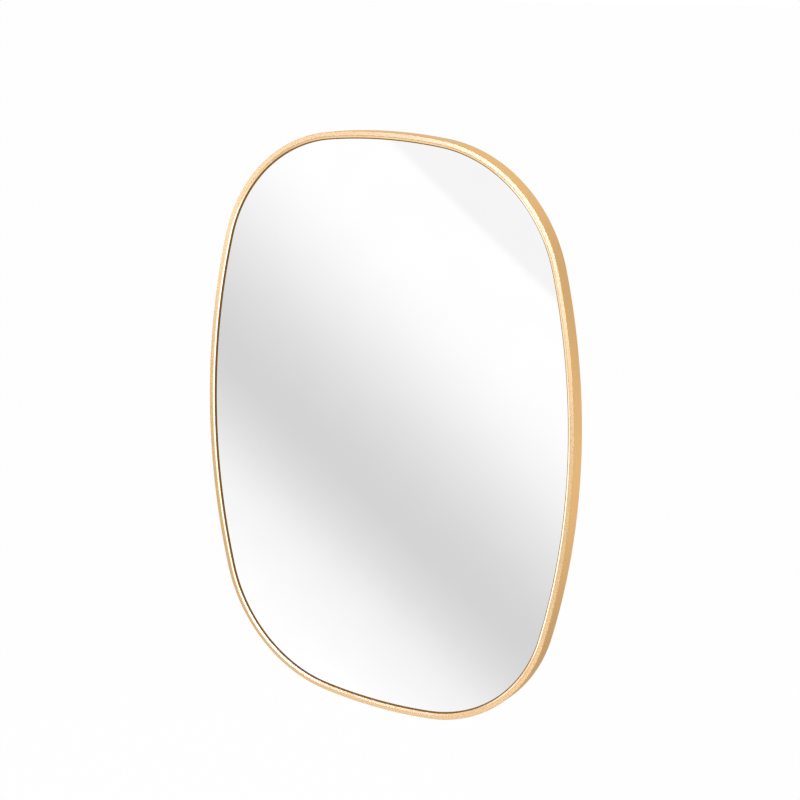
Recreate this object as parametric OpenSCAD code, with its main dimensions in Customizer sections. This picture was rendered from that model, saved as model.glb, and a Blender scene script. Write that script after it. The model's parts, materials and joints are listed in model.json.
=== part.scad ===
// Pebble-shaped wall mirror in a slim brushed gold aluminium frame.
// The frame is two bent halves of one extrusion, drawn together by a splice key
// at the top and at the bottom. It holds a silvered glass, its safety film and a
// backing board, which spring clips press forward against the face of the frame.
// Four swinging rings on the board hang it upright or sideways.

/* [Outline] */
// Height of the frame, over all
mirror_h = 900; // [780:10:1040]
// Width of the frame, over all
mirror_w = 660; // [610:10:780]
// Radius of the two long sides, which bow outward
side_r = 1070; // [900:10:1500]
// Radius of the top and the bottom, which bow outward
end_r = 850; // [620:10:1100]
// Radius of the four corners
corner_r = 230; // [190:5:260]

/* [Frame section] */
// Width of the face, seen from the front
face_w = 9.5; // [8:0.5:14]
// Depth of the frame from its face to its back
frame_d = 24; // [23.5:0.5:30]
// Thickness of the outer wall
wall_t = 1.6; // [1.2:0.1:2]
// Thickness of the face
face_t = 3; // [2:0.1:3.4]
// Width of the shallow bevel, the inner part of the face
bevel_w = 3.5; // [1:0.1:5]
// How far that bevel falls towards the glass
bevel_d = 1; // [0.3:0.1:1.2]
// How far the inner edge slopes inward, from the bevel down to the glass
slope_w = 1.8; // [0.6:0.2:2.6]
// Rounding of the outer front edge
edge_r = 0.8; // [0.4:0.1:1.2]
// Width of the groove at the back that takes the splice keys
groove_w = 7.8; // [7:0.2:10]
// Thickness of the web and of the lips that form that groove
groove_t = 1.2; // [1:0.1:1.6]
// Width of the slot between the lips, where a key reaches its screws
slot_w = 4.4; // [4.2:0.2:5.4]

/* [Glass and backing] */
// Thickness of the silvered glass
glass_t = 4; // [3:0.5:5]
// Thickness of the safety film on the back of the glass
film_t = 0.3; // [0.2:0.1:0.5]
// Thickness of the backing board
board_t = 9; // [8:0.5:10]
// Room round the glass and the board, inside the outer wall
edge_gap = 1; // [0.5:0.1:2]
// Thickness of the foam tape between the face and the glass
tape_t = 0.5; // [0.3:0.1:1]
// Width of the foam tape
tape_w = 4; // [3:0.5:5]

/* [Splice keys] */
// Length of a key along the frame
key_l = 84; // [60:2:90]
// Thickness of a key
key_t = 2.4; // [2:0.1:2.8]
// Diameter of the grub screws that lock a key
key_screw_d = 4; // [3:0.5:4]
// Distance between two grub screws
key_screw_step = 22; // [16:1:24]

/* [Spring clips] */
// Length of a bowed clip
clip_l = 34; // [24:1:44]
// Width of a clip
clip_w = 6; // [4:0.5:7]
// Thickness of the spring steel
clip_t = 0.6; // [0.4:0.1:0.8]
// Distance from the middle of a long side to its two clips
clip_side_step = 150; // [80:10:220]

/* [Hangers] */
// Distance of the upright rings' bearing point below the top of the frame
hook_drop = 188; // [150:2:230]
// Distance of an upright ring's middle from the near side of the frame
hook_in = 130; // [110:5:170]
// Distance of the sideways rings' bearing point from the right side of the frame
side_hook_drop = 80; // [62:2:120]
// Distance of a sideways ring's middle from the near end of the frame
side_hook_in = 320; // [260:10:400]
// Width of a hanger plate
plate_w = 13; // [11:0.5:16]
// Length of a hanger plate from its ring
plate_l = 32; // [29:1:40]
// Thickness of a hanger plate
plate_t = 1.2; // [1:0.1:1.5]
// Diameter of the ring's wire
wire_d = 2.5; // [2:0.1:3]
// Radius of the ring's two tight bends beside the plate
ring_bend_r = 2.5; // [2:0.1:4]
// Length of the ring's straight legs
leg_l = 3; // [1.5:0.5:6]
// Distance from the ring's pivot to the nearer screw
screw_near = 9; // [7.5:0.5:10]
// Distance from the ring's pivot to the farther screw
screw_far = 24; // [22:0.5:26]
// Diameter of a hanger screw's shank
screw_d = 3; // [2.5:0.1:3.5]
// Length of its shank in the board
screw_l = 6; // [5:0.5:6.5]
// Diameter of its head
screw_head_d = 6.4; // [5.6:0.2:7]
// Height of its head
screw_head_h = 1.9; // [1.5:0.1:2.2]

/* [Bumpers] */
// Diameter of the rubber bumpers between the frame and the wall
pad_d = 9; // [7:0.5:10]
// Thickness of the bumpers
pad_t = 1.5; // [1:0.1:3]

/* [Hidden] */
$fa = 2;
$fs = 0.6;

// Clearances
key_gap = 0.15;
key_lift = 0.3;
socket_gap = 0.3;
clip_gap = 0.05;
ring_gap = 0.08;
ring_side_gap = 0.5;
ring_rest_gap = 0.15;
screw_gap = 0.15;
thread_gap = 0.05;
hole_spare = 0.5;

// Upright part of the frame's inner edge, below its slope
inner_land = 0.4;

// How far a cut runs past the face it opens
past = 1;

gold = "#dcb77c";
steel = "#b9bcc0";

// Everything is drawn with its face up: X to the right, Y up the mirror and Z
// from the wall forward. Heights above the wall, in that order:
back_z = pad_t;
key_z = back_z + groove_t;
web_z = key_z + key_t + key_lift;
clip_z = web_z + groove_t;
face_z = back_z + frame_d;
lip_z = face_z - face_t;
glass_z = lip_z - tape_t - glass_t;
film_z = glass_z - film_t;
board_z = film_z - board_t;

half_w = mirror_w / 2;
half_h = mirror_h / 2;

// Height of the upright rings' bearing point above the middle of the mirror
hook_h = half_h - hook_drop;

// How far inside the outline the pieces in the frame begin
glass_in = wall_t + edge_gap;
back_w = wall_t + groove_w + groove_t;
groove_mid = wall_t + groove_w / 2;

// The outline is eight arcs that run into each other without a corner. Each
// quarter has half a side, a corner and half an end. The two angles where they
// meet are rounded, and the corner's centre and the end's radius follow from them.
side_x = half_w - side_r;
side_reach = side_r - corner_r;
end_reach = end_r - corner_r;
centres_apart = norm([side_x, half_h - end_r]);
along = (side_reach^2 - end_reach^2 + centres_apart^2) / (2 * centres_apart);
across = sqrt(side_reach^2 - along^2);
turn = atan2(end_r - half_h, -side_x);
side_a = round_to(atan2(across, along) - turn, 1e-4);
corner_at = [side_x, 0] + side_reach * [cos(side_a), sin(side_a)];
end_a = round_to(atan2(corner_at.y - half_h + end_r, corner_at.x), 1e-4);
end_arc_r = corner_r + corner_at.x / cos(end_a);
end_at = corner_at - (end_arc_r - corner_r) * [cos(end_a), sin(end_a)];

// Each arc: centre, radius, first and last angle
SIDE_ARC = [[side_x, 0], side_r, 0, side_a];
CORNER_ARC = [corner_at, corner_r, side_a, end_a];
END_ARC = [[0, end_at.y], end_arc_r, end_a, 90];
QUARTER = [SIDE_ARC, CORNER_ARC, END_ARC];

function round_to(v, step) = round(v / step) * step;

// The point of an arc at an angle, so far inside the outline
function arc_point(arc, angle, inset) =
    arc[0] + (arc[1] - inset) * [cos(angle), sin(angle)];

// Moves by whole hundredths and then by the rest, so that no digit is lost
module shift(v) {
    coarse = [for (x = v) round_to(x, 0.01)];
    translate(coarse)
        translate(v - coarse)
            children();
}

// Stands the mirror up, with the origin between the upright rings' hooks
module hung() {
    translate([0, 0, -hook_h])
        rotate([90, 0, 0])
            children();
}

// Sweeps a section along one arc: its X is 0 on the outline, less inside
module sweep(arc) {
    shift(arc[0])
        rotate_extrude(start = arc[2], angle = arc[3] - arc[2])
            shift([arc[1], 0])
                children();
}

// Half of the ring, from the middle of the bottom to the middle of the top
module half_ring() {
    for (side = [0, 1])
        mirror([0, side, 0])
            for (arc = QUARTER)
                sweep(arc)
                    children();
}

module whole_ring() {
    for (side = [0, 1])
        mirror([side, 0, 0])
            half_ring()
                children();
}

// Puts something at an angle along an arc, so far inside the outline, with X
// along the frame and Y outward
module on_arc(arc, angle, inset) {
    translate(arc_point(arc, angle, inset))
        rotate([0, 0, angle - 90])
            children();
}

// A sheet that follows the outline: a band swept along the arcs, and a polygon
// that fills it from the middle of the band inward
module sheet(inset, z, thickness) {
    band = corner_r / 6;
    steps = 4;
    quarter = [
        for (arc = QUARTER)
            for (i = [0 : steps - 1])
                arc_point(arc, arc[2] + (arc[3] - arc[2]) * i / steps, inset + band / 2)
    ];
    count = len(quarter);
    upper = [
        for (p = quarter) p,
        arc_point(END_ARC, 90, inset + band / 2),
        for (i = [count - 1 : -1 : 1]) [-quarter[i].x, quarter[i].y]
    ];
    whole_ring()
        translate([-inset - band, z])
            square([band, thickness]);
    translate([0, 0, z])
        linear_extrude(thickness)
            polygon([for (side = [1, -1]) for (p = upper) side * p]);
}

// Section of the frame: an outer wall, the face with its bevel and its sloping
// inner edge, and at the back a groove with a slot between two lips
module frame_section() {
    slot_out = groove_mid - slot_w / 2;
    slot_in = groove_mid + slot_w / 2;
    groove_end = wall_t + groove_w;
    round_steps = 6;
    polygon([
        [0, back_z],
        for (i = [0 : round_steps])
            [edge_r * (cos(90 * i / round_steps) - 1),
             face_z - edge_r * (1 - sin(90 * i / round_steps))],
        [bevel_w - face_w, face_z],
        [-face_w, face_z - bevel_d],
        [-face_w - slope_w, lip_z + inner_land],
        [-face_w - slope_w, lip_z],
        [-wall_t, lip_z],
        [-wall_t, clip_z],
        [-back_w, clip_z],
        [-back_w, back_z],
        [-slot_in, back_z],
        [-slot_in, key_z],
        [-groove_end, key_z],
        [-groove_end, web_z],
        [-wall_t, web_z],
        [-wall_t, key_z],
        [-slot_out, key_z],
        [-slot_out, back_z]
    ]);
}

module frame_right() {
    color(gold)
        hung()
            half_ring()
                frame_section();
}

module frame_left() {
    color(gold)
        hung()
            mirror([1, 0, 0])
                half_ring()
                    frame_section();
}

// Places of the grub screws along a key, as angles from its middle
key_screw_r = end_arc_r - groove_mid;
KEY_SCREWS = [for (i = [-1.5 : 1.5]) i * key_screw_step / key_screw_r * 180 / PI];

// A bar in the groove across the joint, tapped for its grub screws
module splice_key() {
    reach = key_l / 2 / key_screw_r * 180 / PI;
    color(steel)
        difference() {
            translate([0, end_at.y, 0])
                rotate_extrude(start = 90 - reach, angle = 2 * reach)
                    translate([end_arc_r - wall_t - groove_w + key_gap, key_z])
                        square([groove_w - 2 * key_gap, key_t]);
            for (a = KEY_SCREWS)
                on_arc(END_ARC, 90 + a, groove_mid)
                    translate([0, 0, key_z - past])
                        cylinder(d = key_screw_d + 2 * thread_gap, h = key_t + 2 * past);
        }
}

// Grub screws with hexagon sockets, turned in until they meet the web
module key_screws() {
    length = key_t + key_lift + groove_t - socket_gap;
    socket_d = key_screw_d / 2;
    socket_depth = length / 2;
    color("#54565a")
        for (a = KEY_SCREWS)
            on_arc(END_ARC, 90 + a, groove_mid)
                translate([0, 0, web_z - length])
                    difference() {
                        cylinder(d = key_screw_d, h = length);
                        translate([0, 0, -past])
                            cylinder(d = socket_d, h = socket_depth + past, $fn = 6);
                    }
}

module splice_key_top() {
    hung()
        splice_key();
}

module splice_key_bottom() {
    hung()
        mirror([0, 1, 0])
            splice_key();
}

module key_screws_top() {
    hung()
        key_screws();
}

module key_screws_bottom() {
    hung()
        mirror([0, 1, 0])
            key_screws();
}

// Thin closed-cell tape that cushions the glass behind the face
module foam_tape() {
    color("#d8d8d4")
        hung()
            whole_ring()
                translate([-glass_in - tape_w, lip_z - tape_t])
                    square([tape_w, tape_t]);
}

module mirror_glass() {
    color("#e8eced")
        hung()
            sheet(glass_in, glass_z, glass_t);
}

module safety_film() {
    color("#9aa0a6")
        hung()
            sheet(glass_in, film_z, film_t);
}

// The board, with blind holes for the hanger screws
module backing_board() {
    color("#b08d62")
        hung()
            difference() {
                sheet(glass_in, board_z, board_t);
                for (hanger = HANGERS)
                    at_hanger(hanger)
                        screw_places()
                            translate([0, 0, -past])
                                cylinder(d = screw_d + 2 * thread_gap,
                                         h = screw_l + hole_spare + past);
            }
}

// A bowed strip of spring steel along X: its ends press on the web of the frame
// and its middle on the board
module spring_clip() {
    foot_z = clip_z + clip_gap;
    rise = board_z - clip_gap - clip_t - foot_z;
    bow_r = (clip_l^2 / 4 + rise^2) / (2 * rise);
    reach = atan2(clip_l / 2, bow_r - rise);
    color("#8f9499")
        translate([0, 0, foot_z + rise - bow_r])
            rotate([90, 0, 0])
                rotate_extrude(start = 90 - reach, angle = 2 * reach)
                    translate([bow_r, -clip_w / 2])
                        square([clip_t, clip_w]);
}

clip_in = (glass_in + back_w) / 2;
clip_side_a = asin(clip_side_step / (side_r - clip_in));
clip_corner_a = (side_a + end_a) / 2;

module clip_at(arc, angle, left, down) {
    hung()
        mirror([left, 0, 0])
            mirror([0, down, 0])
                on_arc(arc, angle, clip_in)
                    spring_clip();
}

module clip_upper_left() { clip_at(CORNER_ARC, clip_corner_a, 1, 0); }
module clip_upper_right() { clip_at(CORNER_ARC, clip_corner_a, 0, 0); }
module clip_lower_left() { clip_at(CORNER_ARC, clip_corner_a, 1, 1); }
module clip_lower_right() { clip_at(CORNER_ARC, clip_corner_a, 0, 1); }
module clip_left_upper() { clip_at(SIDE_ARC, clip_side_a, 1, 0); }
module clip_left_lower() { clip_at(SIDE_ARC, clip_side_a, 1, 1); }
module clip_right_upper() { clip_at(SIDE_ARC, clip_side_a, 0, 0); }
module clip_right_lower() { clip_at(SIDE_ARC, clip_side_a, 0, 1); }

// A hanger is drawn round its ring's pivot, which runs along X, with the ring
// towards Y. Its heights are measured from the back of the board.
eye_r = wire_d / 2 + ring_gap;
pivot_drop = plate_t + eye_r;
leg_x = plate_w / 2 + ring_side_gap + ring_bend_r;
ring_reach = ring_bend_r + leg_l + leg_x;
ring_lean = asin((pivot_drop - wire_d / 2 - ring_rest_gap) / ring_reach);
bearing = (ring_reach - wire_d / 2) * cos(ring_lean);

// Each hanger: the place of its pivot, and the way its ring points
UPRIGHT_LEFT = [[hook_in - half_w, hook_h - bearing], 0];
UPRIGHT_RIGHT = [[half_w - hook_in, hook_h - bearing], 0];
SIDEWAYS_UPPER = [[half_w - side_hook_drop - bearing, half_h - side_hook_in], -90];
SIDEWAYS_LOWER = [[half_w - side_hook_drop - bearing, side_hook_in - half_h], -90];
HANGERS = [UPRIGHT_LEFT, UPRIGHT_RIGHT, SIDEWAYS_UPPER, SIDEWAYS_LOWER];

module at_hanger(hanger) {
    translate([hanger[0].x, hanger[0].y, board_z])
        rotate([0, 0, hanger[1]])
            children();
}

module screw_places() {
    for (y = [screw_near, screw_far])
        translate([0, -y, 0])
            children();
}

// A steel strip, screwed to the board at one end and curled round the ring's
// straight side at the other
module hanger_plate() {
    curl_angle = 290;
    end_round_r = plate_w * 0.7;
    color(steel)
        difference() {
            union() {
                intersection() {
                    translate([-plate_w / 2, -plate_l, -plate_t])
                        cube([plate_w, plate_l, plate_t]);
                    translate([0, end_round_r - plate_l, -plate_t])
                        cylinder(r = end_round_r, h = plate_t);
                }
                translate([-plate_w / 2, end_round_r - plate_l, -plate_t])
                    cube([plate_w, plate_l - end_round_r, plate_t]);
                translate([0, 0, -pivot_drop])
                    rotate([90, 0, 90])
                        rotate_extrude(start = 90 - curl_angle, angle = curl_angle)
                            translate([eye_r, -plate_w / 2])
                                square([plate_t, plate_w]);
            }
            screw_places()
                translate([0, 0, -plate_t - past])
                    cylinder(d = screw_d + 2 * screw_gap, h = plate_t + 2 * past);
        }
}

// The ring lies back against the board by a few degrees, as it does when it hangs
module hanger_ring() {
    color(steel)
        translate([0, 0, -pivot_drop])
            rotate([ring_lean, 0, 0]) {
                translate([ring_bend_r - leg_x, 0, 0])
                    rotate([0, 90, 0])
                        cylinder(d = wire_d, h = 2 * (leg_x - ring_bend_r));
                for (side = [0, 1])
                    mirror([side, 0, 0]) {
                        translate([leg_x - ring_bend_r, ring_bend_r, 0])
                            rotate_extrude(start = -90, angle = 90)
                                translate([ring_bend_r, 0])
                                    circle(d = wire_d);
                        translate([leg_x, ring_bend_r, 0])
                            rotate([-90, 0, 0])
                                cylinder(d = wire_d, h = leg_l);
                    }
                translate([0, ring_bend_r + leg_l, 0])
                    rotate_extrude(start = 0, angle = 180)
                        translate([leg_x, 0])
                            circle(d = wire_d);
            }
}

// Round-headed wood screws with crossed slots
module hanger_screws() {
    head_z = -plate_t - screw_head_h;
    dome = 0.5;
    slot_l = screw_head_d * 0.6;
    slot_t = screw_head_d * 0.14;
    slot_depth = screw_head_h * 0.5;
    color(steel)
        screw_places()
            difference() {
                rotate_extrude()
                    polygon([
                        [0, head_z],
                        [screw_head_d / 2 - dome, head_z],
                        [screw_head_d / 2, head_z + dome],
                        [screw_head_d / 2, -plate_t],
                        [screw_d / 2, -plate_t],
                        [screw_d / 2, screw_l - screw_d / 2],
                        [0, screw_l]
                    ]);
                for (a = [45, 135])
                    rotate([0, 0, a])
                        translate([-slot_l / 2, -slot_t / 2, head_z - past])
                            cube([slot_l, slot_t, slot_depth + past]);
            }
}

module hanger_plate_upright_left() { hung() at_hanger(UPRIGHT_LEFT) hanger_plate(); }
module hanger_plate_upright_right() { hung() at_hanger(UPRIGHT_RIGHT) hanger_plate(); }
module hanger_plate_sideways_upper() { hung() at_hanger(SIDEWAYS_UPPER) hanger_plate(); }
module hanger_plate_sideways_lower() { hung() at_hanger(SIDEWAYS_LOWER) hanger_plate(); }
module hanger_ring_upright_left() { hung() at_hanger(UPRIGHT_LEFT) hanger_ring(); }
module hanger_ring_upright_right() { hung() at_hanger(UPRIGHT_RIGHT) hanger_ring(); }
module hanger_ring_sideways_upper() { hung() at_hanger(SIDEWAYS_UPPER) hanger_ring(); }
module hanger_ring_sideways_lower() { hung() at_hanger(SIDEWAYS_LOWER) hanger_ring(); }
module hanger_screws_upright_left() { hung() at_hanger(UPRIGHT_LEFT) hanger_screws(); }
module hanger_screws_upright_right() { hung() at_hanger(UPRIGHT_RIGHT) hanger_screws(); }
module hanger_screws_sideways_upper() { hung() at_hanger(SIDEWAYS_UPPER) hanger_screws(); }
module hanger_screws_sideways_lower() { hung() at_hanger(SIDEWAYS_LOWER) hanger_screws(); }

// A rubber bumper on the back of the frame in the middle of a corner
module bumper(left, down) {
    soft_edge = pad_t / 3;
    color("#2b2b2b")
        hung()
            mirror([left, 0, 0])
                mirror([0, down, 0])
                    on_arc(CORNER_ARC, clip_corner_a, back_w / 2)
                        rotate_extrude()
                            polygon([
                                [0, 0],
                                [pad_d / 2 - soft_edge, 0],
                                [pad_d / 2, soft_edge],
                                [pad_d / 2, pad_t],
                                [0, pad_t]
                            ]);
}

module bumper_upper_left() { bumper(1, 0); }
module bumper_upper_right() { bumper(0, 0); }
module bumper_lower_left() { bumper(1, 1); }
module bumper_lower_right() { bumper(0, 1); }

frame_left();
frame_right();
splice_key_top();
splice_key_bottom();
key_screws_top();
key_screws_bottom();
foam_tape();
mirror_glass();
safety_film();
backing_board();
clip_upper_left();
clip_upper_right();
clip_lower_left();
clip_lower_right();
clip_left_upper();
clip_left_lower();
clip_right_upper();
clip_right_lower();
hanger_plate_upright_left();
hanger_plate_upright_right();
hanger_plate_sideways_upper();
hanger_plate_sideways_lower();
hanger_ring_upright_left();
hanger_ring_upright_right();
hanger_ring_sideways_upper();
hanger_ring_sideways_lower();
hanger_screws_upright_left();
hanger_screws_upright_right();
hanger_screws_sideways_upper();
hanger_screws_sideways_lower();
bumper_upper_left();
bumper_upper_right();
bumper_lower_left();
bumper_lower_right();
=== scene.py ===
# %% [markdown]
# # A pebble-shaped wall mirror, piece by piece
#
# The real mirror is a flat silvered glass in a slim frame of brushed gold aluminium. Four rings
# behind it take the wall hooks. The solids of all its pieces come in already placed, in metres:
# +X is to the right, +Z is up, the glass looks along -Y, and the wall is the plane y = 0.
#
# Pieces whose solid is right keep it and only get a finish. The frame, the rings, the screws and
# the bumpers are drawn again as finer surfaces, because light shows every facet on bare metal.

# %% Bring in the solids
import json

import bmesh
import bpy
import numpy as np
from mathutils import Matrix, Vector


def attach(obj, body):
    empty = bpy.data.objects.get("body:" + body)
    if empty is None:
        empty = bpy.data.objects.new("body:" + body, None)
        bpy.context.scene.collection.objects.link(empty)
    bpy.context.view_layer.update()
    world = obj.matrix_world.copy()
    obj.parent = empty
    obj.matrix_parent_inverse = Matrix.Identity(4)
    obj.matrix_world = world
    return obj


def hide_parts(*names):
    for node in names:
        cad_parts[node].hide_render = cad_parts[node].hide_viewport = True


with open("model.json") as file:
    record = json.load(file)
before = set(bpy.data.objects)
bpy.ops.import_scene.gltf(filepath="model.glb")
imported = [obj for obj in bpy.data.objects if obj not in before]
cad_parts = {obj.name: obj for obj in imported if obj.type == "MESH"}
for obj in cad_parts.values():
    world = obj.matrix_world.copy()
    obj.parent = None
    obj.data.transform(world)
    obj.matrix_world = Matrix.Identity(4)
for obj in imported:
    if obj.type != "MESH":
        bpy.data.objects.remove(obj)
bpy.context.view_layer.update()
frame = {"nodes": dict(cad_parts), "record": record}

MM = 0.001

# %% [markdown]
# ## The camera
#
# The photograph was matched with a pinhole camera: its place was moved until the outline, the
# edges of the face and the side wall all fell on the photographed ones. It stands to the right of
# the mirror and above it, looks left and down, and leans by one degree. The lens is long, so the
# far side of the frame is hardly smaller than the near one.

# %% Stand the camera where the photograph was taken
scene = bpy.context.scene
PICTURE = 800
FOCAL_PIXELS = 1706.7
SENSOR = 36
FARTHEST = 1000
TURN_LEFT, LOOK_DOWN, LEAN = 0.57096, 0.23772, 0.01798
CAMERA_AT = (1.3793, -2.1167, 0.3943)

ahead = np.array([-np.sin(TURN_LEFT) * np.cos(LOOK_DOWN),
                  np.cos(TURN_LEFT) * np.cos(LOOK_DOWN),
                  -np.sin(LOOK_DOWN)])
level = np.array([np.cos(TURN_LEFT), np.sin(TURN_LEFT), 0])
above = np.cross(level, ahead)
right = level * np.cos(LEAN) + above * np.sin(LEAN)
up = above * np.cos(LEAN) - level * np.sin(LEAN)

camera = bpy.data.objects.new("camera", bpy.data.cameras.new("camera"))
scene.collection.objects.link(camera)
scene.camera = camera
camera.data.sensor_width = SENSOR
camera.data.lens = FOCAL_PIXELS * SENSOR / PICTURE
camera.data.clip_end = FARTHEST
turned = Matrix(np.stack([right, up, -ahead], 1).tolist()).to_4x4()
camera.matrix_world = Matrix.Translation(CAMERA_AT) @ turned
print("lens", round(camera.data.lens, 2), "mm")

# %% [markdown]
# ## The outline
#
# The outline of the mirror looks freehand, but it is eight circular arcs: two long sides, two ends
# and four corners, each running into the next without a corner. Such an outline has one neat
# property. Every direction is the outward normal of exactly one point, so the angle of the normal
# is all that is needed to name a point, and a point so far inside is found along the same normal.
#
# It could also be a spline through measured points, but a spline has no exact parallels, and the
# frame, the glass and the wall of the frame are all parallels of one curve.

# %% Find where the arcs meet
WIDTH, HEIGHT = 660, 900
SIDE_R, END_R, CORNER_R = 1070, 850, 230
HOOK_H = 262

side_c = np.array([WIDTH / 2 - SIDE_R, 0])
end_c = np.array([0, HEIGHT / 2 - END_R])
gap = end_c - side_c
apart = np.hypot(*gap)
along = ((SIDE_R - CORNER_R) ** 2 - (END_R - CORNER_R) ** 2 + apart**2) / (2 * apart)
across = np.sqrt((SIDE_R - CORNER_R) ** 2 - along**2)
corner_c = side_c + (along * gap + across * np.array([-gap[1], gap[0]])) / apart
CENTRES = np.array([side_c, corner_c, end_c])
RADII = np.array([SIDE_R, CORNER_R, END_R])
SIDE_A = np.arctan2(corner_c[1] - side_c[1], corner_c[0] - side_c[0])
END_A = np.arctan2(corner_c[1] - end_c[1], corner_c[0] - end_c[0])
print("side to corner at", round(np.degrees(SIDE_A), 3), "degrees")
print("corner to end at", round(np.degrees(END_A), 3), "degrees")


def outline(angle):
    """The point of the outline whose outward normal has this angle, and that normal: the centre
    of the point's arc plus the arc's radius times the normal, mirrored into its own quarter."""
    normal = np.stack([np.cos(angle), np.sin(angle)], -1)
    folded = np.arctan2(abs(normal[..., 1]), abs(normal[..., 0]))
    arc = (folded > SIDE_A).astype(int) + (folded > END_A)
    return np.sign(normal) * CENTRES[arc] + RADII[arc][..., None] * normal, normal


def fine_angles(start, end, error=0.012):
    """Angles from start to end, with every join of two arcs among them, so close that a chord
    leaves its arc by no more than the error: a step is the root of eight errors over the radius."""
    quarter = np.array([SIDE_A, END_A])
    joins = np.concatenate([[0], quarter, [np.pi / 2], np.pi - quarter[::-1], [np.pi]])
    joins = np.concatenate([joins - np.pi, joins[1:], joins[1:] + np.pi])
    close = 1e-9
    joins = joins[(joins > start + close) & (joins < end - close)]
    joins = np.concatenate([[start], joins, [end]])
    pieces = []
    for a, b in zip(joins[:-1], joins[1:]):
        middle = (a + b) / 2
        folded = np.arctan2(abs(np.sin(middle)), abs(np.cos(middle)))
        radius = RADII[int(folded > SIDE_A) + int(folded > END_A)]
        count = int(np.ceil((b - a) / np.sqrt(8 * error / radius)))
        pieces.append(np.linspace(a, b, count + 1)[:-1])
    return np.concatenate(pieces + [[end]])


def hang(points):
    """Stands a drawing up. It is drawn flat, in millimetres: right, up the mirror, and forward
    from the wall. Forward becomes -Y, and the hooks' height becomes z = 0."""
    x, y, z = np.moveaxis(np.asarray(points, float), -1, 0)
    return np.stack([x, -z, y - HOOK_H], -1) * MM


print("points on half the outline:", len(fine_angles(-np.pi / 2, np.pi / 2)))

# %% [markdown]
# ## From a grid of points to a piece
#
# Every surface here is a grid: rows that follow each other, each with the same number of points.
# Numpy works out all the points at once, and the faces are the same four neighbours over and over.
# The texture map of a piece is its own two lengths, in metres, so a grain can be as long and as
# fine as it is on the real metal, wherever the bar bends.

# %% Number the faces of a grid
def grid_faces(rows, columns, wrap_rows=False):
    """Four corners for each face of a grid whose columns close on themselves. Row i and column j
    have number i * columns + j."""
    i = np.arange(rows if wrap_rows else rows - 1)[:, None]
    j = np.arange(columns)[None, :]
    below, beside = (i + 1) % rows, (j + 1) % columns
    corners = [i * columns + j, below * columns + j, below * columns + beside, i * columns + beside]
    return np.stack(np.broadcast_arrays(*corners), -1).reshape(-1, 4)


def grid_map(lengths, girths):
    """The texture map of the same faces: u is the length along at the row, v the length around at
    the column. Each list has one entry more where the grid closes on itself."""
    rows = len(lengths) - 1
    i = np.arange(rows)[:, None]
    j = np.arange(len(girths) - 1)[None, :]
    i, j = np.broadcast_arrays(i, j)
    u = np.stack([lengths[i], lengths[i + 1], lengths[i + 1], lengths[i]], -1)
    v = np.stack([girths[j], girths[j], girths[j + 1], girths[j + 1]], -1)
    return np.stack([u, v], -1).reshape(-1, 2)


print("faces of a tube of 3 rings with 4 points each:", len(grid_faces(3, 4)))

# %% [markdown]
# All pieces are made in one place, so that all get the same care. Points that fall together are
# merged, a shape that came out inside out is turned, and edges stay sharp where the real one has a
# corner. The record knows which body a node rides on and which finish slot it has, and both are
# looked up by the node's name, but the finish itself is passed in. The body could be written by
# hand at each piece, but a slip would go unseen.

# %% Make a piece
MERGE_D = 1e-8
SHARP_FROM = np.radians(38)


def make_piece(name, points, faces, texture, node, finish, caps=(), normals=None):
    """A named object from points in metres, which rides with its node's body, takes the place of
    that node and gets a finish. Caps are closed by one many-sided face each. Where the surface's
    own normals are known they are used, and elsewhere edges above an angle are sharp."""
    points = points.reshape(-1, 3)
    rings = [list(map(int, cap)) for cap in caps]
    mesh = bpy.data.meshes.new(name)
    mesh.from_pydata(points.tolist(), [], faces.tolist() + rings)
    layer = mesh.uv_layers.new(name="bar")
    flat = np.zeros((len(mesh.loops), 2))
    flat[:len(texture)] = texture
    layer.data.foreach_set("uv", flat.ravel())
    work = bmesh.new()
    work.from_mesh(mesh)
    bmesh.ops.remove_doubles(work, verts=work.verts, dist=MERGE_D)
    volume = work.calc_volume(signed=True)
    if volume < 0:
        bmesh.ops.reverse_faces(work, faces=work.faces)
    open_edges = sum(not e.is_manifold for e in work.edges)
    work.to_mesh(mesh)
    work.free()
    mesh.shade_smooth()
    if normals is None:
        mesh.set_sharp_from_angle(angle=SHARP_FROM)
    else:
        mesh.normals_split_custom_set_from_vertices(normals.reshape(-1, 3).tolist())
    piece = bpy.data.objects.new(name, mesh)
    scene.collection.objects.link(piece)
    mesh.materials.append(finish)
    body = next(b for b, names in frame["record"]["behaviour"]["bodies"].items() if node in names)
    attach(piece, body)
    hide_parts(node)
    slot = next(s["material_slot"] for s in frame["record"]["subparts"] if s["node"] == node)
    volume_mm = abs(volume) / MM**3
    print(f"{name}: {len(mesh.polygons)} faces, {volume_mm:.0f} mm3, open edges {open_edges}")


# %% [markdown]
# ## Finishes as sums
#
# A finish is a little network of nodes. Written by hand, each sum in it takes several lines, so a
# small class wraps a node's output and lets Python's own signs build the Math nodes.

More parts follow.
